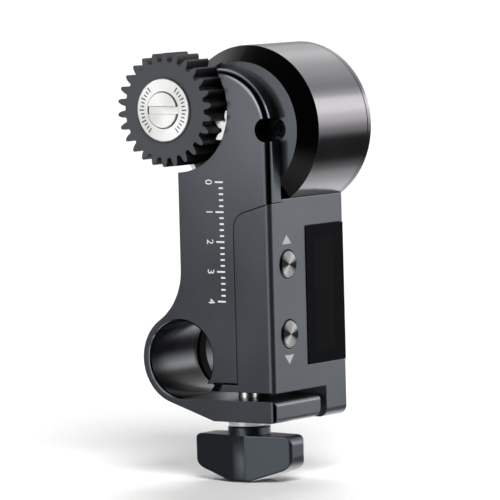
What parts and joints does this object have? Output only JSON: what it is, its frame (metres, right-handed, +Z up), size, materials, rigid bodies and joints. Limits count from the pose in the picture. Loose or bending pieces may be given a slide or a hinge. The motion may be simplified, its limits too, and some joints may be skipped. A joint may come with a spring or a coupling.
{
  "type": "follow focus motor unit",
  "caption": "Upright follow focus motor unit: gear wheel beside a round motor drum, side screen and buttons, split rod clamp with a wing screw below.",
  "frame": {"origin": "centre of the split rod clamp's bore, half way along the clamp's depth", "axes": "+Y along the rod bore, from the gear side to the back; +Z up along the body towards the motor drum; +X to the side with the screen and buttons"},
  "size_m": [0.0403, 0.0306, 0.0856],
  "materials": {
    "body_metal": "satin dark grey anodised",
    "cover_metal": "satin dark grey anodised",
    "drum_metal": "polished dark grey anodised",
    "knob_metal": "satin dark grey anodised",
    "button_metal": "spun dark anodised",
    "gear_polymer": "moulded, matt dark grey",
    "silver_disc": "fine turned, bright",
    "bright_steel": "ground",
    "plain_steel": "plain",
    "black_steel": "blackened",
    "brass_insert": "turned",
    "display_black": "gloss black",
    "board": "solder mask",
    "chip_black": "moulded"
  },
  "bodies": {
    "root": {"front_frame": "body_metal", "thread_insert": "brass_insert", "main_housing": "body_metal", "rear_cover": "cover_metal", "rear_cover_screws": "black_steel", "frame_screws": "black_steel", "arm_screws": "black_steel", "drum_screws": "black_steel", "motor_housing": "drum_metal", "motor_rear_cap": "drum_metal", "rear_cap_screws": "black_steel", "gearbox_case": "plain_steel", "gearbox_screws": "black_steel", "motor_can": "plain_steel", "encoder_board": "board", "pinion_bearing": "bright_steel", "gear_bearings": "bright_steel", "circuit_board": "board", "board_chips": "chip_black", "display_window": "display_black", "display_module": "chip_black", "power_socket": "plain_steel", "socket_board": "board", "upper_switch": "plain_steel", "lower_switch": "plain_steel"},
    "gear": {"output_gear": "gear_polymer", "gear_axle": "plain_steel", "gear_disc": "silver_disc", "gear_screw": "silver_disc"},
    "pinion": {"drive_pinion": "bright_steel", "output_shaft": "bright_steel"},
    "upper_key": {"upper_button": "button_metal", "upper_plunger": "chip_black"},
    "lower_key": {"lower_button": "button_metal", "lower_plunger": "chip_black"},
    "washer": {"clamp_washer": "bright_steel"},
    "thumb_screw": {"clamp_screw": "bright_steel", "wing_knob": "knob_metal"}
  },
  "joints": [
    {"name": "gear_spin", "type": "hinge", "parent": "root", "child": "gear", "pos_m": [0.00022, 0, 0.04922], "axis": [0, 1, 0], "continuous": true},
    {"name": "pinion_spin", "type": "hinge", "parent": "root", "child": "pinion", "pos_m": [0.01309, 0, 0.04516], "axis": [0, 1, 0], "continuous": true},
    {"name": "upper_press", "type": "slide", "parent": "root", "child": "upper_key", "axis": [-1, 0, 0], "range_m": [0, 0.0004], "stiffness_N_per_m": 2000, "springref_m": -0.0003},
    {"name": "lower_press", "type": "slide", "parent": "root", "child": "lower_key", "axis": [-1, 0, 0], "range_m": [0, 0.0004], "stiffness_N_per_m": 2000, "springref_m": -0.0003},
    {"name": "screw_travel", "type": "slide", "parent": "root", "child": "washer", "axis": [0, 0, 1], "range_m": [-0.00211, 0]},
    {"name": "screw_turn", "type": "hinge", "parent": "washer", "child": "thumb_screw", "pos_m": [0.0105, 0, -0.013], "axis": [0, 0, 1], "range_deg": [-1080, 0]}
  ],
  "couplings": [
    {"joint": "pinion_spin", "follows": "gear_spin", "ratio": -3.7143},
    {"joint": "screw_travel", "follows": "screw_turn", "m_per_rad": 0.00011141}
  ]
}
